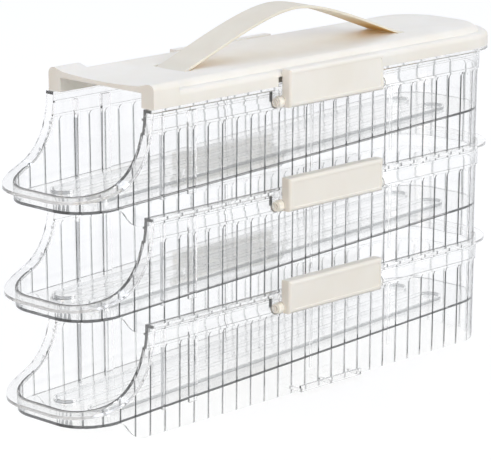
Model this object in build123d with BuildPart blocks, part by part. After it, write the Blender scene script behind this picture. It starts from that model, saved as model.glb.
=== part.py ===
"""Stacking dispenser tray set: three clear trays, a lid with a strap handle and six side latches.

Millimetres, +Z up. The origin is at the middle of the footprint, on the ground. The open scoops
face -Y, and the back is at +Y.
"""
import math
import os

from build123d import *

os.makedirs("parts", exist_ok=True)

# Plan of the rim, shared by the trays' flanges and the lid
body_length = 437.4
rim_width = 105.0
nose_corner_radius = 38.0
back_corner_radius = 42.0
front_y = -body_length / 2
back_y = body_length / 2

# Tray heights
tray_height = 80.4
nest_depth = 6.2
tray_count = 3
band_height = 17.4
flange_thickness = 2.5
tray_pitch = tray_height - nest_depth
step_z = tray_height - band_height

# Tray walls, as distances in from the rim's edge
band_inset = 5.9
panel_inset = 7.1
wall_draft = 0.8
wall_thickness = 1.6
ledge_width = 1.4
ledge_thickness = 1.4

# Scoop, as points on the side view
mouth_y = -156.6
scoop_curve = [
    (mouth_y - 5.0, 54.0),
    (mouth_y - 19.0, 36.6),
    (mouth_y - 39.0, 28.4),
]
lip_front_z = 23.6

# Sloping floor
floor_thickness = 1.8
floor_front_z = 15.4
floor_slope = 0.0433
rail_spacing = 18.6
rail_centre_x = 17.6
rail_width = 1.4
rail_height = 2.2
rail_front_y = -182.0
rail_back_y = 178.0

# Cut-away under the nose
skirt_front_y = -158.5
ogee_length = 24.0

# Wall panels between narrow grooves
groove_pitch = 14.02
groove_width = 1.4
groove_depth = 0.7
groove_flare = 2.6
groove_top_gap = 0.3
post_y = -138.2
nose_grooves = 5
pilaster_width = 7.5
pilaster_depth = 1.4
post_depth = 2.4
witness_width = 2.0
witness_depth = 0.5

# Side latches
latch_centre_y = 18.0
latch_length = 98.0
latch_top = 9.2
lid_latch_top = 12.4
latch_bottom = 14.8
latch_back_x = 52.8
latch_front_x = 61.0
latch_wall = 2.0
latch_edge_radius = 2.4
hinge_x = 52.0
hinge_drop = 10.9
barrel_diameter = 8.0
pin_diameter = 4.0
pin_length = 5.0
pin_clearance = 0.05
end_clearance = 0.4
latch_panel_margin = 3.2
latch_panel_depth = 0.4
hook_thickness = 1.6
hook_clearance = 1.0

# Knuckles on the trays and catch bars above them
knuckle_length = 6.0
knuckle_diameter = 8.6
catch_length = 64.0
catch_inner_x = 54.5
catch_thickness = 1.8
catch_rise = 2.2
catch_drop = 2.4
catch_leg = 2.2
notch_clearance = 0.4

# Lid
lid_front_y = -154.1
lid_skirt_height = 10.5
lid_step_inset = 6.0
lid_height = 14.9
ear_height = 16.6
ear_length = 24.0
ear_radius = 4.5
ear_flat_x = 46.0
ear_blend_x = 36.0
ear_blend_drop = 0.4
lid_edge_radius = 9.0
skirt_edge_radius = 4.0
lid_rail_width = 12.0
lid_roof_underside = 11.4
lid_wall = 2.0
beam_length = 2.6
beam_drop = 1.3
channel_depth = 8.5
dish_depth = 2.0
dish_half_width = 43.5
dish_back_y = 150.0
dish_fade_y = 206.0
dish_fade_depth = 0.2
lid_bar_lift = 0.3
lid_notch_height = 6.8
lid_notch_margin = 3.4

# Strap handle
strap_width = 28.0
strap_thickness = 2.2
strap_centre_y = 25.2
strap_half_span = 113.5
strap_rise = 32.6
strap_shape = [(0.101, 0.975), (0.366, 0.767), (0.656, 0.43)]
slot_width = 33.0
slot_outboard = 1.5
slot_inboard = 8.0
strap_leg_depth = 4.6
foot_length = 9.0
foot_thickness = 3.0
foot_width = 38.0
foot_clearance = 0.3

lid_z = tray_height + (tray_count - 1) * tray_pitch
lid_top_z = lid_z + lid_height
dish_bottom_z = lid_top_z - dish_depth
band_z = step_z + wall_thickness
cavity_inset = panel_inset + wall_thickness
wide = 2 * rim_width
sides = (1, -1)


def outline(inset):
    """Add the rim's outline, set in all round, to the sketch being built."""
    Rectangle(rim_width - 2 * inset, body_length - 2 * inset)
    fillet(vertices().group_by(Axis.Y)[0], nose_corner_radius - inset)
    fillet(vertices().group_by(Axis.Y)[-1], back_corner_radius - inset)


def floor_top(y):
    """Height of the sloping floor's upper face at one place along the tray."""
    return floor_front_z + floor_slope * (y - front_y)


def slope_band(low, high):
    """Add a strip that follows the floor's slope, in the side view, to the sketch being built."""
    ends = (front_y, back_y)
    lower = [(y, floor_top(y) + low) for y in ends]
    upper = [(y, floor_top(y) + high) for y in reversed(ends)]
    Polygon(*lower, *upper, align=None)


def kept_profile(set_back=0.0):
    """Return the side view of everything behind the scoop's edge and under the rim."""
    far = 3 * body_length
    rim_z = tray_height - set_back
    with BuildSketch(Plane.YZ) as profile:
        with BuildLine():
            edge = Spline(
                (mouth_y, tray_height),
                *scoop_curve,
                (front_y - band_inset, lip_front_z),
                tangents=[(0, -1), (-1, -0.13)],
                mode=Mode.PRIVATE,
            )
            places = [edge @ (i / 10) for i in range(1, 11)]
            runs = [edge % (i / 10) for i in range(1, 11)]
            moved = [(p.X - set_back * d.Y, p.Y + set_back * d.X) for p, d in zip(places, runs)]
            top = Line((far, rim_z), (mouth_y + set_back, rim_z))
            curve = Spline(top @ 1, *moved, tangents=[(0, -1), (-1, -0.13)])
            run = Line(curve @ 1, (-far, lip_front_z - set_back - 0.13 * (far + front_y)))
            down = Line(run @ 1, (-far, -far))
            under = Line(down @ 1, (far, -far))
            Line(under @ 1, top @ 0)
        make_face()
    return profile.sketch


def groove_stations():
    """Place each groove: a point on the panels' outline and the direction that it faces."""
    turn_y = back_y - back_corner_radius
    turn_radius = back_corner_radius - panel_inset
    nose_turn_y = front_y + nose_corner_radius
    nose_radius = nose_corner_radius - panel_inset
    half = rim_width / 2 - panel_inset
    places = []
    length = post_y - nose_grooves * groove_pitch
    while length < turn_y + turn_radius * math.pi / 2:
        if length > turn_y:
            angle = (length - turn_y) / turn_radius
            centre = Vector(half - turn_radius, turn_y)
            radius = turn_radius
        elif length < nose_turn_y:
            angle = (length - nose_turn_y) / nose_radius
            centre = Vector(half - nose_radius, nose_turn_y)
            radius = nose_radius
        else:
            angle = 0.0
            centre = Vector(0, length)
            radius = half
        facing = Vector(math.cos(angle), math.sin(angle))
        places.append((centre + facing * radius, facing))
        length += groove_pitch
    mirrored = [(Vector(-p.X, p.Y), Vector(-n.X, n.Y)) for p, n in places]
    return places + mirrored + [(Vector(0, back_y - panel_inset), Vector(0, 1))]


# Outside of the walls: a plain band over slightly tapering panels
with BuildPart() as tray_outside:
    with BuildSketch(Plane.XY):
        outline(panel_inset + wall_draft)
    with BuildSketch(Plane.XY.offset(step_z)):
        outline(panel_inset)
    loft(ruled=True)
    with BuildSketch(Plane.XY.offset(step_z)):
        outline(band_inset)
    extrude(amount=band_height)

# Grooves between the panels, each flared into a rounded corner under the band
groove_cutters = []
for place, facing in groove_stations():
    tilt = wall_draft / step_z
    up = Vector(facing.X * tilt, facing.Y * tilt, 1).normalized()
    across = Vector(-facing.Y, facing.X, 0)
    face_plane = Plane(
        origin=(place.X, place.Y, step_z), x_dir=across, z_dir=across.cross(up)
    )
    with BuildPart() as groove:
        with BuildSketch(face_plane):
            with BuildLine():
                half = groove_width / 2
                top = -groove_top_gap
                left = Line((-half, -step_z - 2), (-half, top - groove_flare))
                flare = RadiusArc(left @ 1, (-half - groove_flare, top), -groove_flare)
                cap = Line(flare @ 1, (half + groove_flare, top))
                back = RadiusArc(cap @ 1, (half, top - groove_flare), -groove_flare)
                right = Line(back @ 1, (half, -step_z - 2))
                Line(right @ 1, left @ 0)
            make_face()
        extrude(amount=groove_depth, both=True)
    groove_cutters.append(groove.part)

# Hollow of the walls
with BuildPart() as tray_hollow:
    with BuildSketch(Plane.XY.offset(-0.01)):
        outline(cavity_inset + wall_draft)
    with BuildSketch(Plane.XY.offset(band_z)):
        outline(cavity_inset)
    loft(ruled=True)
    with BuildSketch(Plane.XY.offset(band_z)):
        outline(band_inset + wall_thickness)
    extrude(amount=band_height)

# Walls with the nesting ledge, the pilasters and the posts inside the mouth
with BuildPart() as tray_walls:
    add(tray_outside.part)
    add(groove_cutters, mode=Mode.SUBTRACT)
    add(tray_hollow.part, mode=Mode.SUBTRACT)
    with BuildSketch(Plane.XY.offset(tray_pitch - ledge_thickness)):
        outline(band_inset + wall_thickness / 2)
        with BuildSketch(mode=Mode.PRIVATE) as ledge_hole:
            outline(band_inset + wall_thickness + ledge_width)
        add(ledge_hole.sketch, mode=Mode.SUBTRACT)
    extrude(amount=ledge_thickness)
    rib_top = tray_pitch - ledge_thickness / 2
    inner_x = rim_width / 2 - cavity_inset - wall_draft
    for side in sides:
        pilaster_y = post_y + 2.0 * groove_pitch
        for y, width, depth in (
            (pilaster_y, pilaster_width, pilaster_depth),
            (post_y, rail_width, post_depth),
        ):
            with Locations((side * (inner_x + (wall_thickness - depth) / 2), y, rib_top)):
                Box(
                    depth + wall_thickness,
                    width,
                    rib_top - floor_front_z,
                    align=(Align.CENTER, Align.CENTER, Align.MAX),
                )
        for station in (10.5, 16.5):
            y = post_y + station * groove_pitch
            with Locations((side * (inner_x + (wall_thickness - witness_depth) / 2), y, step_z)):
                Box(
                    witness_depth + wall_thickness,
                    witness_width,
                    step_z - floor_front_z,
                    align=(Align.CENTER, Align.CENTER, Align.MAX),
                )

# Region behind the scoop and below the rim, and the same set in by the lip's thickness
with BuildPart() as kept_region:
    extrude(kept_profile(), amount=wide, both=True)

with BuildPart() as under_lip:
    extrude(kept_profile(flange_thickness), amount=wide, both=True)

# Flange along the rim and the lip round the scoop, one continuous ribbon
with BuildPart() as tray_lip:
    with BuildSketch(Plane.XY):
        outline(0)
        with BuildSketch(mode=Mode.PRIVATE) as lip_hole:
            outline(band_inset + wall_thickness)
        add(lip_hole.sketch, mode=Mode.SUBTRACT)
    extrude(amount=tray_height)
    add(kept_region.part, mode=Mode.INTERSECT)
    add(under_lip.part, mode=Mode.SUBTRACT)

# Ogee cut-away that leaves the nose standing clear of the ground
with BuildPart() as nose_clearance:
    with BuildSketch(Plane.YZ):
        ogee_y = skirt_front_y - ogee_length
        under_floor = floor_top(ogee_y) - floor_thickness
        out_y = front_y - ogee_length
        with BuildLine():
            foot = Line((skirt_front_y, -ogee_length), (skirt_front_y, 0))
            curve = Spline(
                foot @ 1,
                (skirt_front_y - 0.55 * ogee_length, 0.52 * under_floor),
                (ogee_y, under_floor),
                tangents=[(-1, 0.15), (-1, -floor_slope)],
            )
            run = Line(curve @ 1, (out_y, floor_top(out_y) - floor_thickness))
            drop = Line(run @ 1, (out_y, -ogee_length))
            Line(drop @ 1, foot @ 0)
        make_face()
    extrude(amount=wide, both=True)

# Sloping floor and its two pairs of rails
with BuildPart() as tray_floor:
    with BuildSketch(Plane.XY):
        outline(cavity_inset - wall_thickness / 2 + wall_draft / 2)
    extrude(amount=tray_height)
    with BuildSketch(Plane.YZ):
        slope_band(-floor_thickness, 0)
    extrude(amount=wide, both=True, mode=Mode.INTERSECT)

with BuildPart() as tray_rails:
    rail_length = rail_back_y - rail_front_y
    with BuildSketch(Plane.XY):
        with Locations(*[(s * rail_centre_x, (rail_back_y + rail_front_y) / 2) for s in sides]):
            SlotOverall(rail_length, rail_spacing + rail_width, rotation=90)
            SlotOverall(
                rail_length - 2 * rail_width,
                rail_spacing - rail_width,
                rotation=90,
                mode=Mode.SUBTRACT,
            )
    extrude(amount=tray_height)
    with BuildSketch(Plane.YZ):
        slope_band(-floor_thickness / 2, rail_height)
    extrude(amount=wide, both=True, mode=Mode.INTERSECT)

# One tray, with its latch knuckles and the catch bars that the latch below it grips
latch_half = latch_length / 2
knuckle_y = latch_half + end_clearance + knuckle_length / 2
hinge_z = tray_height - hinge_drop
band_x = rim_width / 2 - band_inset
skirt_x = rim_width / 2 - panel_inset - wall_draft
with BuildPart() as tray:
    add(tray_walls.part)
    add(kept_region.part, mode=Mode.INTERSECT)
    add(tray_lip.part)
    add(nose_clearance.part, mode=Mode.SUBTRACT)
    add(tray_floor.part)
    add(tray_rails.part)
    for side in sides:
        with Locations((side * (band_x + wide / 2), latch_centre_y, tray_height)):
            Box(
                wide,
                latch_length + 2 * end_clearance,
                hinge_drop / 2,
                align=(Align.CENTER, Align.CENTER, Align.CENTER),
                mode=Mode.SUBTRACT,
            )
        with Locations((side * band_x, latch_centre_y, tray_height)):
            Box(
                4 * wall_thickness,
                catch_length + 2 * notch_clearance,
                2 * (catch_drop + notch_clearance),
                mode=Mode.SUBTRACT,
            )
        for end in sides:
            y = latch_centre_y + end * knuckle_y
            with Locations((side * hinge_x, y, hinge_z)):
                Cylinder(knuckle_diameter / 2, knuckle_length, rotation=(90, 0, 0))
            with Locations((side * (band_x - 0.4), y, hinge_z)):
                Box(
                    hinge_x - band_x + 0.4,
                    knuckle_length,
                    tray_height - hinge_z - flange_thickness / 2,
                    align=(Align.MIN if side > 0 else Align.MAX, Align.CENTER, Align.MIN),
                )
            with Locations((side * hinge_x, y, hinge_z)):
                Cylinder(
                    pin_diameter / 2 + pin_clearance,
                    2 * knuckle_length,
                    rotation=(90, 0, 0),
                    mode=Mode.SUBTRACT,
                )
        bar_low = nest_depth - catch_drop
        bar_high = nest_depth + catch_rise
        bar_x = side * (catch_inner_x + catch_thickness / 2)
        with Locations((bar_x, latch_centre_y, (bar_low + bar_high) / 2)):
            Box(catch_thickness, catch_length, bar_high - bar_low)
        leg_reach = (catch_length - catch_leg) / 2
        leg_x = side * (skirt_x - wall_thickness / 2 + catch_inner_x + catch_thickness / 2) / 2
        for shift in (-leg_reach, 0, leg_reach):
            with Locations((leg_x, latch_centre_y + shift, bar_low)):
                Box(
                    catch_inner_x + catch_thickness / 2 - skirt_x + wall_thickness / 2,
                    catch_leg,
                    catch_leg,
                    align=(Align.CENTER, Align.CENTER, Align.MIN),
                )

for index, tier in enumerate(("bottom", "middle", "top")):
    with BuildPart() as tray_copy:
        with Locations((0, 0, index * tray_pitch)):
            add(tray.part)
    tray_copy.part.label = f"tray_{tier}"
    export_step(tray_copy.part, f"parts/tray_{tier}.step")

# Lid: a dished roof on a wider skirt, with full-width ears at the open front
with BuildPart() as lid_roof:
    with BuildSketch(Plane.XY.offset(lid_z)):
        outline(lid_step_inset)
        with Locations((0, lid_front_y)):
            Rectangle(wide, wide, align=(Align.CENTER, Align.MAX), mode=Mode.SUBTRACT)
    extrude(amount=lid_height)
    rim_edges = lid_roof.faces().sort_by(Axis.Z)[-1].edges()
    fillet(rim_edges.sort_by(Axis.Y)[1:], lid_edge_radius)
    for y in (-wide - back_y, dish_back_y):
        with BuildSketch(Plane.XZ.offset(-y)) as dish_section:
            with BuildLine():
                arc = ThreePointArc(
                    (-dish_half_width, lid_top_z),
                    (0, dish_bottom_z),
                    (dish_half_width, lid_top_z),
                )
                Line(arc @ 1, arc @ 0)
            make_face()
        if y < dish_back_y:
            extrude(amount=y - dish_back_y, mode=Mode.SUBTRACT)
    with BuildSketch(Plane.XZ.offset(-dish_fade_y)) as fade_section:
        with BuildLine():
            arc = ThreePointArc(
                (-dish_half_width, lid_top_z),
                (0, lid_top_z - dish_fade_depth),
                (dish_half_width, lid_top_z),
            )
            Line(arc @ 1, arc @ 0)
        make_face()
    loft([dish_section.sketch, fade_section.sketch], ruled=True, mode=Mode.SUBTRACT)

with BuildPart() as lid_skirt:
    with BuildSketch(Plane.XY.offset(lid_z)):
        outline(0)
        with Locations((0, lid_front_y)):
            Rectangle(wide, wide, align=(Align.CENTER, Align.MAX), mode=Mode.SUBTRACT)
    extrude(amount=lid_skirt_height)
    skirt_edges = lid_skirt.faces().sort_by(Axis.Z)[-1].edges()
    fillet(skirt_edges.sort_by(Axis.Y)[1:], skirt_edge_radius)

with BuildPart() as lid_ears:
    half_rim = rim_width / 2
    ear_top = lid_z + ear_height
    blend_z = dish_bottom_z + dish_depth * (ear_blend_x / dish_half_width) ** 2 - ear_blend_drop
    with BuildSketch(Plane.XZ.offset(-lid_front_y)):
        Polygon(
            (half_rim, lid_z),
            (half_rim, ear_top),
            (ear_flat_x, ear_top),
            (ear_blend_x, blend_z),
            (ear_blend_x, lid_z),
            align=None,
        )
        mirror(about=Plane.YZ)
    extrude(amount=-ear_length)
    long_edges = lid_ears.edges().filter_by(Axis.Y)
    outer_edges = [e for e in long_edges if abs(e.center().X) > half_rim - 0.1]
    fillet([e for e in outer_edges if e.center().Z > ear_top - 0.1], ear_radius)

strap_ends = [(strap_centre_y + end * strap_half_span, end) for end in sides]
with BuildPart() as lid:
    add(lid_roof.part)
    add(lid_skirt.part)
    add(lid_ears.part)
    with BuildSketch(Plane.XY.offset(lid_z)):
        outline(lid_rail_width)
    extrude(amount=lid_roof_underside, mode=Mode.SUBTRACT)
    with Locations((0, lid_front_y, lid_z + lid_roof_underside - beam_drop)):
        Box(
            rim_width - 2 * lid_rail_width + lid_wall,
            beam_length,
            beam_drop + (dish_bottom_z - lid_z - lid_roof_underside) / 2,
            align=(Align.CENTER, Align.MIN, Align.MIN),
        )
    with BuildSketch(Plane.XY.offset(lid_z)):
        outline(lid_wall)
        with BuildSketch(mode=Mode.PRIVATE) as channel_inside:
            outline(lid_rail_width - lid_wall)
        add(channel_inside.sketch, mode=Mode.SUBTRACT)
        with Locations((0, lid_front_y + lid_wall)):
            Rectangle(wide, wide, align=(Align.CENTER, Align.MAX), mode=Mode.SUBTRACT)
    extrude(amount=channel_depth, mode=Mode.SUBTRACT)
    slot_shift = (slot_inboard - slot_outboard) / 2
    with Locations(*[(0, y - end * slot_shift, dish_bottom_z) for y, end in strap_ends]):
        Box(slot_width, slot_inboard + slot_outboard, 4 * lid_height, mode=Mode.SUBTRACT)
    for side in sides:
        with Locations((side * rim_width / 2, latch_centre_y, lid_z)):
            Box(
                2 * lid_wall + 0.2,
                latch_length + 2 * lid_notch_margin,
                2 * lid_notch_height,
                mode=Mode.SUBTRACT,
            )
        bar_x = side * (catch_inner_x + catch_thickness / 2)
        with Locations((bar_x, latch_centre_y, lid_z + lid_bar_lift)):
            Box(
                catch_thickness,
                catch_length,
                catch_rise - lid_bar_lift,
                align=(Align.CENTER, Align.CENTER, Align.MIN),
            )
        inner_wall_x = rim_width / 2 - lid_rail_width
        for shift in (-leg_reach, 0, leg_reach):
            leg_x = side * (inner_wall_x + catch_inner_x + catch_thickness) / 2
            with Locations((leg_x, latch_centre_y + shift, lid_z + lid_bar_lift)):
                Box(
                    catch_inner_x + catch_thickness / 2 - inner_wall_x,
                    catch_leg,
                    catch_rise - lid_bar_lift,
                    align=(Align.CENTER, Align.CENTER, Align.MIN),
                )
lid.part.label = "lid"
export_step(lid.part, "parts/lid.step")

# Latches: a shallow shell on a barrel, with a ledge that grips the catch bar. The lid's two are
# a little taller than the trays' four.
latch_shapes = {}
for kind, top in (("tray", latch_top), ("lid", lid_latch_top)):
    with BuildPart() as latch:
        height = top + latch_bottom
        depth = latch_front_x - latch_back_x
        with Locations((latch_back_x, latch_centre_y, tray_height - latch_bottom)):
            Box(depth, latch_length, height, align=(Align.MIN, Align.CENTER, Align.MIN))
        front = latch.faces().sort_by(Axis.X)[-1]
        fillet(front.edges(), latch_edge_radius)
        face_origin = (latch_front_x, latch_centre_y, tray_height + (top - latch_bottom) / 2)
        with BuildSketch(Plane(origin=face_origin, x_dir=(0, 1, 0), z_dir=(1, 0, 0))):
            RectangleRounded(
                latch_length - 2 * latch_panel_margin, height - 2 * latch_panel_margin, 2
            )
        extrude(amount=-latch_panel_depth, mode=Mode.SUBTRACT)
        with Locations((latch_back_x, latch_centre_y, tray_height + top - latch_wall)):
            Box(
                2 * (depth - latch_wall - latch_panel_depth),
                latch_length - 2 * latch_wall,
                height - 2 * latch_wall,
                align=(Align.CENTER, Align.CENTER, Align.MAX),
                mode=Mode.SUBTRACT,
            )
        hook_z = tray_height + catch_rise + hook_clearance
        with Locations((latch_back_x, latch_centre_y, hook_z)):
            Box(
                depth - latch_wall / 2,
                latch_length - latch_wall,
                hook_thickness,
                align=(Align.MIN, Align.CENTER, Align.MIN),
            )
        with Locations((hinge_x, latch_centre_y, hinge_z)):
            Cylinder(barrel_diameter / 2, latch_length, rotation=(90, 0, 0))
            Cylinder(pin_diameter / 2, latch_length + 2 * pin_length, rotation=(90, 0, 0))
    latch_shapes[kind] = latch.part

for index, tier in enumerate(("bottom", "middle", "top")):
    for hand in ("right", "left"):
        with BuildPart() as latch_copy:
            with Locations((0, 0, index * tray_pitch)):
                add(latch_shapes["lid" if tier == "top" else "tray"])
            if hand == "left":
                mirror(about=Plane.YZ, mode=Mode.REPLACE)
        latch_copy.part.label = f"latch_{hand}_{tier}"
        export_step(latch_copy.part, f"parts/latch_{hand}_{tier}.step")

# Strap handle: a thin arched band whose legs drop through the slots
with BuildPart() as handle_strap:
    with BuildSketch(Plane.YZ.offset(-strap_width / 2)):
        shape = [(0, 1.0)] + strap_shape + [(1.0, 0.0)]
        arch = [(-u, w) for u, w in reversed(shape)] + shape[1:]
        upper_points = [
            (strap_centre_y + u * strap_half_span, dish_bottom_z + w * strap_rise)
            for u, w in arch
        ]
        lower_points = [(y, z - strap_thickness) for y, z in reversed(upper_points)]
        with BuildLine():
            upper = Spline(*upper_points)
            lower = Spline(*lower_points)
            Line(upper @ 1, lower @ 0)
            Line(lower @ 1, upper @ 0)
        make_face()
    extrude(amount=strap_width)
    for y, end in strap_ends:
        with Locations((0, y, dish_bottom_z)):
            Box(
                strap_width,
                strap_thickness,
                strap_leg_depth,
                align=(Align.CENTER, Align.CENTER, Align.MAX),
            )
handle_strap.part.label = "handle_strap"
export_step(handle_strap.part, "parts/handle_strap.step")

# Feet under the roof that stop the strap from pulling out
for (y, end), place in zip(strap_ends, ("back", "front")):
    with BuildPart() as foot:
        foot_top = dish_bottom_z - strap_leg_depth - foot_clearance
        with Locations((0, y + end * (foot_length - strap_thickness) / 2, foot_top)):
            Box(
                foot_width,
                foot_length,
                foot_thickness,
                align=(Align.CENTER, Align.CENTER, Align.MAX),
            )
        fillet(foot.edges().filter_by(Axis.Z), 1.5)
    foot.part.label = f"handle_foot_{place}"
    export_step(foot.part, f"parts/handle_foot_{place}.step")
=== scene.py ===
"""Stack of three clear dispenser trays under a cream lid, dressed for a plain studio view.

Metres, +Z up. The open scoops face -Y, and the side that the camera sees is +X.
"""

import logging
import math
from dataclasses import dataclass
from enum import Enum
from typing import Any, Sequence

import bpy
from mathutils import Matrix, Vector

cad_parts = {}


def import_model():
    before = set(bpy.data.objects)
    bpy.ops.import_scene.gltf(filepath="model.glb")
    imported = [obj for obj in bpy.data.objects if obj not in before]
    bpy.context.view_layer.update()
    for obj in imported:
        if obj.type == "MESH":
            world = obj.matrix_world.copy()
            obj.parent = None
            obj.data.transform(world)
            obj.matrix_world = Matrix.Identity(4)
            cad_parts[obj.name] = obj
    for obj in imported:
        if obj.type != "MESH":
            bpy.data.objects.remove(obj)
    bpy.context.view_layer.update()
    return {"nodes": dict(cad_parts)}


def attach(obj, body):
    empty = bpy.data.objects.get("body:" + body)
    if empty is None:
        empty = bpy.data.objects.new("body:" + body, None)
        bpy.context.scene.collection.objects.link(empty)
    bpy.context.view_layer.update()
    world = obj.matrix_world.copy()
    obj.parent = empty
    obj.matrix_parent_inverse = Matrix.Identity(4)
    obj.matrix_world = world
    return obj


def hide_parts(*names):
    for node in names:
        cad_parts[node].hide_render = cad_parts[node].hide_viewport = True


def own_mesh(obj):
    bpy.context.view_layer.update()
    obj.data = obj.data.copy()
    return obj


LOG = logging.getLogger("dispenser")
MM = 0.001
WHITE = (1.0, 1.0, 1.0, 1.0)


class Tier(Enum):
    """The three levels of the stack, from the ground up."""

    BOTTOM = "bottom"
    MIDDLE = "middle"
    TOP = "top"


class Mark(Enum):
    """The finishes of a clear tray by slot; all but the clear one carry painted grey shade."""

    CLEAR = 0
    GROOVE = 1
    RIB = 2
    RIM = 3
    RAIL = 4
    EDGE = 5
    SIDE = 6


class Hand(Enum):
    """The side of the stack that a latch is on."""

    RIGHT = "right"
    LEFT = "left"


def linear(code: str) -> tuple[float, float, float, float]:
    """Turn an sRGB hex colour into linear RGBA.

    Args:
        code: Six hex digits, without a hash sign.

    Returns:
        The linear colour, with an alpha of one.
    """
    parts = [int(code[i : i + 2], 16) / 255 for i in (0, 2, 4)]
    light = [c / 12.92 if c <= 0.04045 else ((c + 0.055) / 1.055) ** 2.4 for c in parts]
    return (light[0], light[1], light[2], 1.0)


def add_node(
    tree: bpy.types.NodeTree,
    kind: str,
    spot: tuple[int, int],
    settings: dict[str, Any] | None = None,
    values: dict[Any, Any] | None = None,
    links: dict[Any, bpy.types.NodeSocket] | None = None,
) -> bpy.types.Node:
    """Add one node with its settings, socket values and incoming links.

    Args:
        tree: Node tree that the node goes into.
        kind: Node type's full name.
        spot: Column and row on the node sheet.
        settings: Properties of the node itself.
        values: Default values of its input sockets, by name or index.
        links: Output sockets to link into its inputs, by name or index.

    Returns:
        The new node.
    """
    node = tree.nodes.new(kind)
    node.location = (spot[0] * 220, spot[1] * 260)
    for name, value in (settings or {}).items():
        setattr(node, name, value)
    for key, value in (values or {}).items():
        node.inputs[key].default_value = value
    for key, socket in (links or {}).items():
        tree.links.new(socket, node.inputs[key])
    return node


def fresh_material(name: str) -> tuple[bpy.types.Material, bpy.types.NodeTree]:
    """Make an empty node material.

    Args:
        name: The material's name.

    Returns:
        The material and its node tree.
    """
    material = bpy.data.materials.new(name)
    material.use_nodes = True
    material.node_tree.nodes.clear()
    return material, material.node_tree


@dataclass(frozen=True)
class ClearStyrene:
    """Crystal polystyrene, injection moulded and polished: colourless walls whose edges look grey.

    A thin wall lets nearly all light through. Light that enters an edge runs a long way inside the
    wall, so a faint absorption darkens every rim, groove and rib a little. Painted grey shade does
    the rest: the front and back colours and the glance shade draw them as darker lines.
    """

    name: str = "crystal polystyrene, moulded"
    front_painted_shade: str = "FFFFFF"
    back_painted_shade: str = "FFFFFF"
    glance_painted_shade: str = "A8ABAD"
    ior: float = 1.57
    roughness: float = 0.03
    haze: float = 0.04
    absorption_per_m: float = 1.2
    ripple_mm: float = 9.0
    ripple_depth_mm: float = 0.01
    milk_colour: str = "F1F3F4"
    shadow_tint: str = "F9FAFA"
    inner_tint: str = "B9BEC0"
    upright_limit: float = 0.3

    def build(self) -> bpy.types.Material:
        """Build the material.

        Returns:
            A see-through material with an absorbing inside.
        """
        material, tree = fresh_material(self.name)
        place = add_node(tree, "ShaderNodeTexCoord", (-5, 0))
        # Slow ripple that polished tool steel and shrinkage leave in the walls
        ripple = add_node(
            tree,
            "ShaderNodeTexNoise",
            (-4, 0),
            values={"Scale": 1 / (self.ripple_mm * MM), "Detail": 2.0, "Roughness": 0.45},
            links={"Vector": place.outputs["Object"]},
        )
        relief = add_node(
            tree,
            "ShaderNodeBump",
            (-3, 0),
            values={"Strength": 0.25, "Distance": self.ripple_depth_mm * MM},
            links={"Height": ripple.outputs[0]},
        )
        # Painted shade: a face seen from outside takes its front grey and seen from inside its
        # back grey, so light that enters through it is darkened there and hardly where it leaves
        side = add_node(tree, "ShaderNodeNewGeometry", (-4, 1))
        front_back_shade = add_node(
            tree,
            "ShaderNodeMix",
            (-3, 1),
            settings={"data_type": "RGBA"},
            values={6: linear(self.front_painted_shade), 7: linear(self.back_painted_shade)},
            links={0: side.outputs["Backfacing"]},
        )
        # Painted shade: an upright wall that turns away at a corner is painted grey, and a level
        # one stays clear
        facing = add_node(tree, "ShaderNodeLayerWeight", (-5, 2), values={"Blend": 0.5})
        steep = add_node(
            tree,
            "ShaderNodeMapRange",
            (-4, 2),
            settings={"interpolation_type": "SMOOTHSTEP"},
            values={1: 0.5, 2: 1.0},
            links={0: facing.outputs["Facing"]},
        )
        slope = add_node(
            tree, "ShaderNodeSeparateXYZ", (-5, 3), links={0: side.outputs["True Normal"]}
        )
        level = add_node(
            tree,
            "ShaderNodeMath",
            (-4, 3),
            settings={"operation": "ABSOLUTE"},
            links={0: slope.outputs[2]},
        )
        upright = add_node(
            tree,
            "ShaderNodeMath",
            (-3, 3),
            settings={"operation": "LESS_THAN"},
            values={1: self.upright_limit},
            links={0: level.outputs[0]},
        )
        glance = add_node(
            tree,
            "ShaderNodeMath",
            (-3, 2),
            settings={"operation": "MULTIPLY"},
            links={0: steep.outputs[0], 1: upright.outputs[0]},
        )
        edge = add_node(
            tree,
            "ShaderNodeMix",
            (-2, 1),
            settings={"data_type": "RGBA"},
            values={7: linear(self.glance_painted_shade)},
            links={0: glance.outputs[0], 6: front_back_shade.outputs[2]},
        )
        body = add_node(
            tree,
            "ShaderNodeBsdfPrincipled",
            (-1, 0),
            values={
                "Roughness": self.roughness,
                "IOR": self.ior,
                "Transmission Weight": 1.0,
            },
            links={"Base Color": edge.outputs[2], "Normal": relief.outputs["Normal"]},
        )
        # Faint milkiness of the skin, which keeps the trapped light in rims and ribs grey
        milk = add_node(
            tree, "ShaderNodeBsdfDiffuse", (-1, 3), values={"Color": linear(self.milk_colour)}
        )
        hazed = add_node(
            tree,
            "ShaderNodeMixShader",
            (0, 1),
            values={0: self.haze},
            links={1: body.outputs[0], 2: milk.outputs[0]},
        )
        ray = add_node(tree, "ShaderNodeLightPath", (-1, 2))
        through = add_node(
            tree,
            "ShaderNodeBsdfTransparent",
            (-1, 1),
            values={"Color": linear(self.shadow_tint)},
        )
        skin = add_node(
            tree,
            "ShaderNodeMixShader",
            (1, 0),
            links={
                0: ray.outputs["Is Shadow Ray"],
                1: hazed.outputs[0],
                2: through.outputs[0],
            },
        )
        inside = add_node(
            tree,
            "ShaderNodeVolumeAbsorption",
            (0, -1),
            values={"Color": linear(self.inner_tint), "Density": self.absorption_per_m},
        )
        add_node(
            tree,
            "ShaderNodeOutputMaterial",
            (2, 0),
            links={"Surface": skin.outputs[0], "Volume": inside.outputs[0]},
        )
        return material


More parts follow.
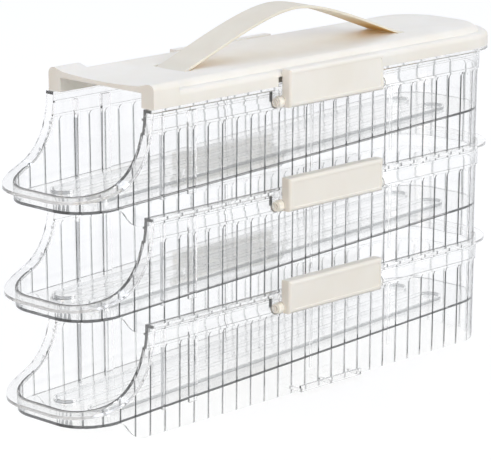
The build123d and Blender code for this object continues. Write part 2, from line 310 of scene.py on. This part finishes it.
@dataclass(frozen=True)
class MouldedPlastic:
    """Opaque moulded plastic: satin skin, faint flow marks and a little depth to light.

    A soft, thin wall also glows: a share of the light passes it, and a painted glow in its base
    colour turns its downward faces golden between the heights of painted_glow_top_mm and
    painted_glow_foot_mm.
    """

    name: str
    colour: str
    shade: str
    roughness: float = 0.42
    roughness_spread: float = 0.05
    grain_mm: float = 0.6
    grain_depth_mm: float = 0.012
    flow_mm: float = 38.0
    depth: float = 0.12
    depth_mm: float = 2.5
    glow: float = 0.0
    glow_colour: str = "D8B673"
    glow_share: float = 0.55
    painted_glow_foot_mm: float = 247.0
    painted_glow_top_mm: float = 262.0

    def build(self) -> bpy.types.Material:
        """Build the material.

        Returns:
            An opaque material whose pattern follows real millimetres.
        """
        material, tree = fresh_material(self.name)
        place = add_node(tree, "ShaderNodeTexCoord", (-6, 0))
        # Flow marks: broad, very faint changes of tone where the melt cooled
        flow = add_node(
            tree,
            "ShaderNodeTexNoise",
            (-5, 1),
            values={"Scale": 1 / (self.flow_mm * MM), "Detail": 3.0, "Distortion": 0.6},
            links={"Vector": place.outputs["Object"]},
        )
        tone = add_node(
            tree,
            "ShaderNodeValToRGB",
            (-4, 1),
            links={0: flow.outputs[0]},
        )
        tone.color_ramp.elements[0].position = 0.35
        tone.color_ramp.elements[0].color = linear(self.shade)
        tone.color_ramp.elements[1].position = 0.65
        tone.color_ramp.elements[1].color = linear(self.colour)
        grain = add_node(
            tree,
            "ShaderNodeTexNoise",
            (-5, -1),
            values={"Scale": 1 / (self.grain_mm * MM), "Detail": 2.0},
            links={"Vector": place.outputs["Object"]},
        )
        sheen = add_node(
            tree,
            "ShaderNodeMapRange",
            (-4, 0),
            values={
                3: self.roughness - self.roughness_spread,
                4: self.roughness + self.roughness_spread,
            },
            links={0: grain.outputs[0]},
        )
        relief = add_node(
            tree,
            "ShaderNodeBump",
            (-3, -1),
            values={"Strength": 0.35, "Distance": self.grain_depth_mm * MM},
            links={"Height": grain.outputs[0]},
        )
        body = add_node(
            tree,
            "ShaderNodeBsdfPrincipled",
            (-1, 0),
            values={
                "IOR": 1.49,
                "Subsurface Weight": self.depth,
                "Subsurface Radius": (1.0, 0.75, 0.5),
                "Subsurface Scale": self.depth_mm * MM,
            },
            links={
                "Base Color": tone.outputs[0],
                "Roughness": sheen.outputs[0],
                "Normal": relief.outputs["Normal"],
            },
        )
        skin = self.add_glow(tree, place, tone, body) if self.glow else body
        add_node(
            tree, "ShaderNodeOutputMaterial", (2, 0), links={"Surface": skin.outputs[0]}
        )
        return material

    def add_glow(
        self,
        tree: bpy.types.NodeTree,
        place: bpy.types.Node,
        tone: bpy.types.Node,
        body: bpy.types.Node,
    ) -> bpy.types.Node:
        """Let light through a soft wall, and paint a glow into its downward faces near the lid.

        Args:
            tree: The material's node tree.
            place: Its texture coordinates.
            tone: The node that gives its colour.
            body: Its shader, without the glow.

        Returns:
            The shader with the glow.
        """
        # Painted glow: the base colour of downward faces near the lid is mixed toward the glow
        # colour
        side = add_node(tree, "ShaderNodeNewGeometry", (-5, 3))
        slope = add_node(
            tree, "ShaderNodeSeparateXYZ", (-4, 3), links={0: side.outputs["True Normal"]}
        )
        shaded = add_node(
            tree,
            "ShaderNodeMapRange",
            (-3, 3),
            values={1: -0.3, 2: -0.7, 3: 0.0, 4: 1.0},
            links={0: slope.outputs[2]},
        )
        spot = add_node(
            tree, "ShaderNodeSeparateXYZ", (-4, 2), links={0: place.outputs["Object"]}
        )
        low = add_node(
            tree,
            "ShaderNodeMapRange",
            (-3, 2),
            values={1: self.painted_glow_top_mm * MM, 2: self.painted_glow_foot_mm * MM, 3: 0.0, 4: 1.0},
            links={0: spot.outputs[2]},
        )
        painted_glow_share = add_node(
            tree,
            "ShaderNodeMath",
            (-2, 2),
            settings={"operation": "MULTIPLY"},
            links={0: shaded.outputs[0], 1: low.outputs[0]},
        )
        painted_glow = add_node(
            tree,
            "ShaderNodeMix",
            (-2, 1),
            settings={"data_type": "RGBA"},
            values={7: linear(self.glow_colour)},
            links={0: painted_glow_share.outputs[0], 6: tone.outputs[0]},
        )
        tree.links.new(painted_glow.outputs[2], body.inputs["Base Color"])
        through = add_node(
            tree, "ShaderNodeBsdfTranslucent", (-1, 1), values={"Color": linear(self.glow_colour)}
        )
        wall = add_node(
            tree,
            "ShaderNodeMixShader",
            (0, 0),
            values={0: self.glow},
            links={1: body.outputs[0], 2: through.outputs[0]},
        )
        # A share of the lamps' light passes both skins and warms the lid below
        ray = add_node(tree, "ShaderNodeLightPath", (-1, 3))
        share = add_node(
            tree,
            "ShaderNodeMath",
            (0, 2),
            settings={"operation": "MULTIPLY"},
            values={1: self.glow_share},
            links={0: ray.outputs["Is Shadow Ray"]},
        )
        passed = add_node(
            tree, "ShaderNodeBsdfTransparent", (0, 1), values={"Color": linear(self.glow_colour)}
        )
        return add_node(
            tree,
            "ShaderNodeMixShader",
            (1, 0),
            links={0: share.outputs[0], 1: wall.outputs[0], 2: passed.outputs[0]},
        )


@dataclass
class Studio:
    """Pale floor, even world, three soft lamps and the camera of the reference view."""

    image_width: int = 491
    focal_px: float = 2831.28
    azimuth: float = 44.495
    elevation: float = 13.601
    distance: float = 2.04319
    target: tuple[float, float, float] = (0.0, -0.0137, 0.1136)
    floor_half: float = 9.0
    ambient: float = 0.68
    ceiling: tuple[float, float, float, float] = (0.5, 0.505, 0.51, 1.0)
    ceiling_rise: tuple[float, float] = (0.22, 0.62)
    air_rise: tuple[float, float] = (0.05, 0.75)
    low_air: tuple[float, float, float] = (1.03, 1.0, 0.95)
    high_air: tuple[float, float, float] = (0.91, 0.97, 1.12)
    paper: str = "F4F4F4"
    veil_gain: float = 1.16
    veil_share: float = 0.62

    def build_world(self) -> None:
        """Light the scene evenly, and show white behind it.

        What the eye, a gloss or a clear wall sees near the horizon is white. High up it is a
        darker ceiling, which the rims and grooves of clear plastic bend into thin grey lines.
        """
        world = bpy.data.worlds.new("studio air")
        world.use_nodes = True
        tree = world.node_tree
        tree.nodes.clear()
        way = add_node(tree, "ShaderNodeTexCoord", (-5, 0))
        parts = add_node(
            tree, "ShaderNodeSeparateXYZ", (-4, 0), links={0: way.outputs["Generated"]}
        )
        height = add_node(tree, "ShaderNodeValToRGB", (-3, 0), links={0: parts.outputs[2]})
        horizon, top = height.color_ramp.elements
        horizon.position, top.position = self.ceiling_rise
        horizon.color, top.color = WHITE, self.ceiling
        ray = add_node(tree, "ShaderNodeLightPath", (-4, 2))
        bent = add_node(
            tree,
            "ShaderNodeMath",
            (-3, 1),
            settings={"operation": "MAXIMUM"},
            links={0: ray.outputs["Is Glossy Ray"], 1: ray.outputs["Is Transmission Ray"]},
        )
        # Cool light from above and warm light from the room's sides
        soft = add_node(tree, "ShaderNodeValToRGB", (-3, -1), links={0: parts.outputs[2]})
        low, high = soft.color_ramp.elements
        low.position, high.position = self.air_rise
        low.color = (*(self.ambient * part for part in self.low_air), 1.0)
        high.color = (*(self.ambient * part for part in self.high_air), 1.0)
        seen = add_node(
            tree,
            "ShaderNodeMix",
            (-2, 0),
            settings={"data_type": "RGBA"},
            links={0: bent.outputs[0], 6: soft.outputs[0], 7: height.outputs[0]},
        )
        sky = add_node(
            tree,
            "ShaderNodeMix",
            (-1, 0),
            settings={"data_type": "RGBA"},
            values={7: WHITE},
            links={0: ray.outputs["Is Camera Ray"], 6: seen.outputs[2]},
        )
        air = add_node(tree, "ShaderNodeBackground", (0, 0), links={0: sky.outputs[2]})
        add_node(tree, "ShaderNodeOutputWorld", (1, 0), links={0: air.outputs[0]})
        bpy.context.scene.world = world

    def build_floor(self) -> bpy.types.Object:
        """Lay the floor.

        Returns:
            The floor, marked as stage.
        """
        bpy.ops.object.select_all(action="DESELECT")
        bpy.ops.mesh.primitive_plane_add(size=2 * self.floor_half, location=(0, 0, 0))
        floor = bpy.context.object
        floor.name = "floor"
        material, tree = fresh_material("white sweep paper")
        # A veil of its own light brings the lit paper to white and leaves the shadows in it
        ray = add_node(tree, "ShaderNodeLightPath", (-3, 0))
        bent = add_node(
            tree,
            "ShaderNodeMath",
            (-2, 0),
            settings={"operation": "MAXIMUM"},
            links={0: ray.outputs["Is Glossy Ray"], 1: ray.outputs["Is Transmission Ray"]},
        )
        seen = add_node(
            tree,
            "ShaderNodeMath",
            (-1, 0),
            settings={"operation": "MAXIMUM"},
            links={0: ray.outputs["Is Camera Ray"], 1: bent.outputs[0]},
        )
        gain = add_node(
            tree,
            "ShaderNodeMath",
            (0, 0),
            settings={"operation": "MULTIPLY"},
            values={1: self.veil_gain},
            links={0: seen.outputs[0]},
        )
        veil = add_node(
            tree,
            "ShaderNodeEmission",
            (1, 0),
            values={"Color": WHITE},
            links={"Strength": gain.outputs[0]},
        )
        paper = add_node(
            tree, "ShaderNodeBsdfDiffuse", (1, 1), values={"Color": linear(self.paper)}
        )
        half = add_node(
            tree,
            "ShaderNodeMixShader",
            (2, 0),
            values={0: self.veil_share},
            links={1: paper.outputs[0], 2: veil.outputs[0]},
        )
        add_node(tree, "ShaderNodeOutputMaterial", (3, 0), links={"Surface": half.outputs[0]})
        floor.data.materials.append(material)
        return floor

    def add_lamp(
        self,
        name: str,
        spot: Sequence[float],
        aim: Sequence[float],
        size: tuple[float, float],
        watts: float,
        colour: str,
    ) -> bpy.types.Object:
        """Hang one rectangular soft lamp.

        Args:
            name: Name of the lamp.
            spot: Its place, in metres.
            aim: The point that it faces.
            size: Width and height of its panel, in metres.
            watts: Its power.
            colour: Its colour as sRGB hex.

        Returns:
            The lamp.
        """
        lamp = bpy.data.lights.new(name, "AREA")
        lamp.shape = "RECTANGLE"
        lamp.size, lamp.size_y = size
        lamp.energy = watts
        lamp.color = linear(colour)[:3]
        holder = bpy.data.objects.new(name, lamp)
        holder.location = spot
        turn = (Vector(aim) - Vector(spot)).to_track_quat("-Z", "Y")
        holder.rotation_euler = turn.to_euler()
        bpy.context.collection.objects.link(holder)
        return holder

    def add_lamps(self) -> None:
        """Hang the key lamp at the near side, the top lamp and the weak front lamp."""
        middle = (0.0, 0.0, 0.12)
        self.add_lamp("near side lamp", (2.2, 0.2, 1.1), middle, (1.6, 1.2), 26.0, "FFFDFA")
        self.add_lamp("far top lamp", (-1.2, 0.5, 2.1), middle, (1.2, 1.2), 7.0, "E9F0FF")
        self.add_lamp("front lamp", (0.5, -2.3, 0.8), middle, (1.4, 0.9), 13.0, "FFEBD6")

    def add_camera(self) -> bpy.types.Object:
        """Set the camera at the reference view.

        Returns:
            The camera.
        """
        lens = bpy.data.cameras.new("reference view")
        lens.sensor_width = 36.0
        lens.sensor_fit = "HORIZONTAL"
        lens.lens = self.focal_px * lens.sensor_width / self.image_width
        lens.clip_end = 60.0
        camera = bpy.data.objects.new("reference view", lens)
        turn, tilt = math.radians(self.azimuth), math.radians(self.elevation)
        look = Vector(
            (-math.sin(turn) * math.cos(tilt), math.cos(turn) * math.cos(tilt), -math.sin(tilt))
        )
        camera.location = Vector(self.target) - look * self.distance
        camera.rotation_euler = look.to_track_quat("-Z", "Y").to_euler()
        bpy.context.collection.objects.link(camera)
        bpy.context.scene.camera = camera
        return camera

    def build(self) -> None:
        """Build the whole studio."""
        self.build_world()
        self.build_floor()
        self.add_lamps()
        self.add_camera()
        bpy.context.scene.view_settings.view_transform = "Standard"
        LOG.info("studio: floor, world, lamps and camera")


def select_only(piece: bpy.types.Object) -> None:
    """Select one object and make it the active one.

    Args:
        piece: The object.
    """
    if bpy.context.mode != "OBJECT":
        bpy.ops.object.mode_set(mode="OBJECT")
    bpy.ops.object.select_all(action="DESELECT")
    piece.select_set(True)
    bpy.context.view_layer.objects.active = piece


def merged_copy(node: bpy.types.Object, name: str) -> bpy.types.Object:
    """Copy a CAD node's mesh into a new piece and merge its loose triangles into clean faces.

    Args:
        node: The CAD node, which stays as it is.
        name: Name of the new piece.

    Returns:
        The new piece, with no material yet.
    """
    piece = bpy.data.objects.new(name, node.data.copy())
    bpy.context.collection.objects.link(piece)
    piece.data.materials.clear()
    select_only(piece)
    bpy.ops.object.mode_set(mode="EDIT")
    bpy.ops.mesh.select_all(action="SELECT")
    bpy.ops.mesh.remove_doubles(threshold=0.002 * MM)
    bpy.ops.mesh.customdata_custom_splitnormals_clear()
    bpy.ops.mesh.dissolve_limited(angle_limit=math.radians(0.5))
    bpy.ops.object.mode_set(mode="OBJECT")
    return piece


def round_edges(
    piece: bpy.types.Object,
    width_mm: float,
    segments: int = 2,
    over_degrees: float = 32.0,
    slot: int = -1,
) -> None:
    """Round every sharp edge as the tool's corners do, and smooth the shading between them.

    Args:
        piece: The piece to round.
        width_mm: Width of the rounding.
        segments: Faces across the rounding.
        over_degrees: Edges that turn by more than this are rounded.
        slot: Material slot of the rounding, or -1 to take the material beside it.
    """
    select_only(piece)
    bpy.ops.object.shade_smooth_by_angle(angle=math.radians(over_degrees))
    bevel = piece.modifiers.new("edge radius", "BEVEL")
    bevel.width = width_mm * MM
    bevel.segments = segments
    bevel.limit_method = "ANGLE"
    bevel.angle_limit = math.radians(over_degrees)
    bevel.use_clamp_overlap = True
    bevel.harden_normals = True
    bevel.material = slot
    bpy.ops.object.modifier_apply(modifier=bevel.name)


def finish_piece(
    piece: bpy.types.Object, body: str, node: str
) -> None:
    """Let a piece ride on its body in place of its CAD node.

    Args:
        piece: The finished piece.
        body: The body that carries it.
        node: The CAD node that it stands for.
    """
    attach(piece, body)
    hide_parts(node)
    LOG.info("%s stands for %s: %d faces", piece.name, node, len(piece.data.polygons))


@dataclass
class Tray:
    """One clear tray: ribbed walls, rolled rim, open scoop and a sloping floor with rails.

    Lengths are in millimetres, and heights count from the tray's own foot. A depth counts
    inward from the rim's outline, and a wall depth from the outer skin of the wall's panels.
    """

    tier: Tier
    finishes_and_painted_shades: dict[Mark, bpy.types.Material]
    rim_width: float = 105.0
    length: float = 437.4
    nose_radius: float = 38.0
    back_radius: float = 42.0
    panel_inset: float = 7.1
    draft: float = 0.8
    step_height: float = 63.0
    groove_depth: float = 0.7
    pitch: float = 74.2
    rib_places: tuple[float, float] = (-138.2, -110.16)
    rail_reach: float = 27.2
    flare_drop: float = 2.9
    mouth_y: float = -157.0
    ribbon_depth: float = 7.5
    ribbon_edge: float = 0.3
    floor_front: float = 15.4
    floor_slope: float = 0.0433
    edge_mm: float = 0.3
    upright_limit: float = 0.8
    radius_upright_limit: float = 0.3
    radius_margin: float = 0.1
    groove_side: float = 0.25
    groove_margin: float = 0.08
    band_foot: float = 4.0
    bar_depth: float = -0.5
    bar_height: float = 10.0
    rail_half_width: float = 30.0
    rail_heights: tuple[float, float] = (0.1, 2.1)
    rib_half_width: float = 4.2
    rib_depths: tuple[float, float] = (1.5, 5.0)
    rib_inner_x: float = 36.0

    def base_height(self) -> float:
        """Find the height of this tray's foot above the ground.

        Returns:
            The height, in millimetres.
        """
        return self.pitch * list(Tier).index(self.tier)

    def inset(self, x: float, y: float) -> float:
        """Find how far a point lies inside the rim's outline.

        Args:
            x: Place across the tray, in millimetres.
            y: Place along the tray, in millimetres.

        Returns:
            The distance in from the outline, in millimetres.
        """
        half_width, half_length = self.rim_width / 2, self.length / 2
        for radius, end in ((self.nose_radius, -1.0), (self.back_radius, 1.0)):
            across = abs(x) - (half_width - radius)
            along = end * y - (half_length - radius)
            if across > 0 and along > 0:
                return radius - math.hypot(across, along)
        return min(half_width - abs(x), half_length - abs(y))

    def wall_depth(self, x: float, y: float, height: float) -> float:
        """Find how far a point lies behind the outer skin of the wall's panels.

        Args:
            x: Place across the tray, in millimetres.
            y: Place along the tray, in millimetres.
            height: Height above the tray's foot, in millimetres.

        Returns:
            The depth, in millimetres.
        """
        lean = self.draft * (1 - height / self.step_height)
        return self.inset(x, y) - self.panel_inset - lean

    def split_grooves(self, piece: bpy.types.Object) -> None:
        """Cut the bottom of each groove where it starts to flare.

        Args:
            piece: The tray's mesh, before its edges are rounded.
        """
        for face in piece.data.polygons:
            middle = face.center / MM
            height = middle.z - self.base_height()
            past_groove = self.wall_depth(middle.x, middle.y, height) - self.groove_depth
            below_band = 0.0 < height < self.step_height
            face.select = below_band and abs(past_groove) < self.groove_margin
        flare_z = (self.base_height() + self.step_height - self.flare_drop) * MM
        select_only(piece)
        bpy.ops.object.mode_set(mode="EDIT")
        bpy.ops.mesh.bisect(plane_co=(0.0, 0.0, flare_z), plane_no=(0.0, 0.0, 1.0))
        bpy.ops.object.mode_set(mode="OBJECT")

    def in_groove(self, face: bpy.types.MeshPolygon) -> bool:
        """Tell whether an edge radius lies along an upright groove of the wall.

        Args:
            face: A face of an edge radius.

        Returns:
            True if it does.
        """
        middle = face.center / MM
        height = middle.z - self.base_height()
        outer = self.wall_depth(middle.x, middle.y, height)
        upright = abs(face.normal.z) < self.radius_upright_limit
        near = -self.radius_margin < outer < self.groove_depth + self.radius_margin
        return upright and near and height < self.step_height

    def finish_or_painted_shade_of(self, face: bpy.types.MeshPolygon) -> Mark:
        """Choose the finish of one face, or the painted grey shade of a groove, rib, rail, rim or
        bar.

        Args:
            face: A face of the tray's mesh.

        Returns:
            The slot of its material.
        """
        middle = face.center / MM
        height = middle.z - self.base_height()
        depth = self.inset(middle.x, middle.y)
        outer = self.wall_depth(middle.x, middle.y, height)
        upright = abs(face.normal.z) < self.upright_limit
        floor_z = self.floor_front + self.floor_slope * (middle.y + self.length / 2)
        turn = min(0.0, middle.y + self.length / 2 - self.nose_radius)
        inward = face.normal.x * middle.x + face.normal.y * turn < 0
        if upright and inward and middle.y < self.mouth_y:
            if abs(depth - self.ribbon_depth) < self.ribbon_edge:
                return Mark.RIM
        # The catch bars stand outside the outline, low on the wall, and get the rib's painted grey
        # shade
        if depth < self.bar_depth and height < self.bar_height and abs(face.normal.x) < 0.5:
            return Mark.RIB
        rail_low, rail_high = self.rail_heights
        over_floor = rail_low < height - floor_z < rail_high
        if upright and over_floor and abs(middle.x) < self.rail_half_width:
            shown = abs(face.normal.y) > 0.3 or abs(middle.x) > self.rail_reach
            return Mark.RAIL if shown else Mark.CLEAR
        if not 0.0 < height < self.step_height + self.band_foot:
            return Mark.CLEAR
        if upright and self.groove_side < outer < self.groove_depth - self.groove_margin:
            return Mark.SIDE
        if upright and abs(outer - self.groove_depth) < self.groove_margin:
            below_flare = height < self.step_height - self.flare_drop
            return Mark.GROOVE if below_flare else Mark.CLEAR
        near_rib = any(abs(middle.y - y) < self.rib_half_width for y in self.rib_places)
        rib_near, rib_far = self.rib_depths
        crosswise = abs(face.normal.y) > 0.95 and abs(middle.x) > self.rib_inner_x
        if near_rib and crosswise and rib_near < outer < rib_far:
            return Mark.RIB
        return Mark.CLEAR

    def build(self, node: bpy.types.Object) -> bpy.types.Object:
        """Build the tray's visible piece.

        Args:
            node: The tray's CAD node.

        Returns:
            The piece.
        """
        piece = merged_copy(node, f"clear_tray_{self.tier.value}")
        for mark in Mark:
            piece.data.materials.append(self.finishes_and_painted_shades[mark])
        self.split_grooves(piece)
        counts = dict.fromkeys(Mark, 0)
        for face in piece.data.polygons:
            mark = self.finish_or_painted_shade_of(face)
            face.material_index = mark.value
            counts[mark] += 1
        round_edges(piece, self.edge_mm, slot=Mark.EDGE.value)
        # Edge radii inside a groove get the groove side's painted grey shade
        for face in piece.data.polygons:
            if face.material_index == Mark.EDGE.value and self.in_groove(face):
                face.material_index = Mark.SIDE.value
        LOG.info("tray %s: %s", self.tier.value, {m.name: n for m, n in counts.items()})
        finish_piece(piece, "stack", node.name)
        return piece


@dataclass
class MouldedPart:
    """A cream moulding that follows its CAD solid and gets the tool's rounded edges."""

    node: str
    name: str
    body: str
    slot: str
    material: bpy.types.Material
    edge_mm: float = 0.5
    segments: int = 3

    def shape(self, piece: bpy.types.Object) -> None:
        """Shape the piece before its edges are rounded: a plain part stays as it is."""

    def build(self, node: bpy.types.Object) -> bpy.types.Object:
        """Build the part's visible piece.

        Args:
            node: The part's CAD node.

        Returns:
            The piece.
        """
        piece = merged_copy(node, self.name)
        piece.data.materials.append(self.material)
        self.shape(piece)
        round_edges(piece, self.edge_mm, self.segments)
        finish_piece(piece, self.body, self.node)
        return piece


@dataclass
class Latch(MouldedPart):
    """A side latch, whose pins swell to journals that show through the clear knuckles."""

    hinge_x: float = 52.0
    hinge_height: float = 69.5
    pitch: float = 74.2
    middle_y: float = 18.0
    half_length: float = 49.0
    pin_radius: float = 2.0
    journal_radius: float = 3.5
    margin: float = 0.1

    def shape(self, piece: bpy.types.Object) -> None:
        """Swell the two pins.

        Args:
            piece: The latch's mesh.
        """
        side = 1.0 if Hand.RIGHT.value in self.node else -1.0
        level = [tier.value in self.node for tier in Tier].index(True)
        axis = Vector((side * self.hinge_x, self.middle_y, self.hinge_height + self.pitch * level))
        for point in piece.data.vertices:
            from_axis = point.co / MM - axis
            reach, from_axis.y = abs(from_axis.y), 0.0
            past_barrel = reach > self.half_length - self.margin
            if past_barrel and from_axis.length < self.pin_radius + self.margin:
                swell = from_axis * (self.journal_radius / self.pin_radius - 1.0)
                point.co += swell * MM


@dataclass
class Strap(MouldedPart):
    """The soft strap, which gets a mesh of its own.

    The real strap lies down on the roof as its feet slide outward; this piece keeps its one shape.
    """

    joint: str = "strap_front_slide"
    roof_z: float = 241.7
    middle_y: float = 25.2
    flat_share: float = 0.2

    def build(self, node: bpy.types.Object) -> bpy.types.Object:
        """Build the strap's visible piece.

        Args:
            node: The strap's CAD node.

        Returns:
            The piece.
        """
        piece = super().build(node)
        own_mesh(piece)
        return piece


def main() -> None:
    """Build the studio and dress the stack."""
    logging.basicConfig(level=logging.INFO, format="%(name)s: %(message)s")
    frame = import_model()
    nodes = frame["nodes"]
    finishes_and_painted_shades = {
        Mark.CLEAR: ClearStyrene(),
        # Painted shade: every material but the clear one paints its faces grey to draw them as
        # darker lines
        Mark.GROOVE: ClearStyrene("crystal polystyrene, groove", "787A7C", "F8F9F9"),
        Mark.RIB: ClearStyrene("crystal polystyrene, rib side", "CFD1D2", "B2B4B6"),
        Mark.RIM: ClearStyrene("crystal polystyrene, rim edge", "F2F3F4", haze=0.3),
        Mark.RAIL: ClearStyrene("crystal polystyrene, rail side", "A6A9AB", "E6E7E8"),
        Mark.SIDE: ClearStyrene("crystal polystyrene, groove side", "D2D4D6", "F8F9F9"),
        Mark.EDGE: ClearStyrene("crystal polystyrene, edge radius", "A2A5A8", "F2F3F4", haze=0.16),
    }
    styrene = {mark: finish.build() for mark, finish in finishes_and_painted_shades.items()}
    cream = MouldedPlastic("polypropylene, cream, satin moulded", "F3F0E8", "EFEBE1").build()
    soft = MouldedPlastic(
        "thermoplastic elastomer, cream", "F3F2E6", "EEECDF", roughness=0.5, glow=0.17
    ).build()
    for tier in Tier:
        Tray(tier, styrene).build(nodes[f"tray_{tier.value}"])
    parts = [MouldedPart("lid", "cream_lid", "stack", "cream_plastic", cream)]
    for hand in Hand:
        for tier in Tier:
            name = f"{hand.value}_{tier.value}"
            parts.append(
                Latch(
                    f"latch_{name}", f"cream_latch_{name}", f"{name}_latch", "cream_plastic", cream
                )
            )
    parts.append(
        Strap("handle_strap", "soft_strap", "stack", "cream_soft_plastic", soft, 0.6)
    )
    for end in ("front", "back"):
        parts.append(
            MouldedPart(
                f"handle_foot_{end}", f"soft_foot_{end}", f"{end}_foot", "cream_soft_plastic", soft
            )
        )
    for part in parts:
        part.build(nodes[part.node])
    Studio().build()


if __name__ == "__main__":
    main()
